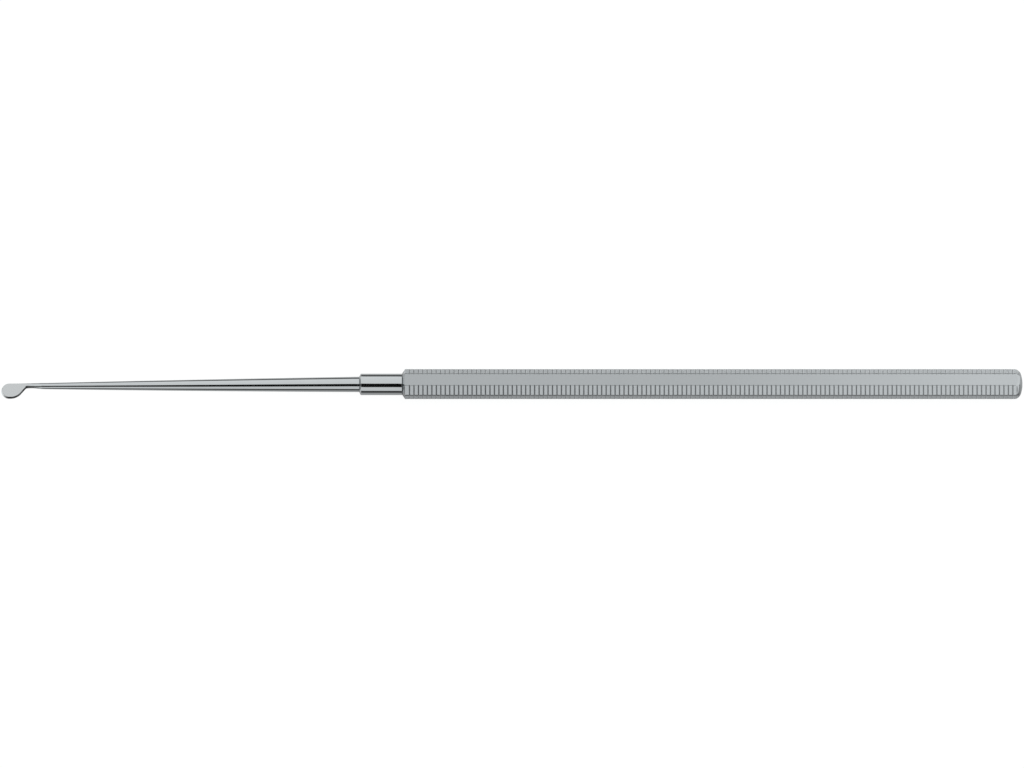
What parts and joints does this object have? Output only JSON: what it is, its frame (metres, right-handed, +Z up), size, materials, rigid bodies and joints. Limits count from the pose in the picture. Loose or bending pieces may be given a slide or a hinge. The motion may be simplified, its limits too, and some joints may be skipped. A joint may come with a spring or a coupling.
{
  "type": "otologic round knife",
  "caption": "Slim ear-surgery knife: flat round blade on a long tapered shaft with a plain collar, and an octagonal handle with ring grooves and a smooth upper face.",
  "frame": {"origin": "on the resting surface, under the handle's axis, half way between the blade's tip and the handle's end", "axes": "+X from the blade towards the handle's end, +Z up out of the smooth marked face, +Y the side that the blade's straight edge is on"},
  "size_m": [0.16, 0.0046, 0.0043],
  "materials": {
    "satin_steel": "fine satin blasted stainless steel",
    "polished_steel": "mirror polished stainless steel"
  },
  "bodies": {
    "root": {"octagonal_handle": "satin_steel", "working_end": "polished_steel"}
  },
  "joints": []
}
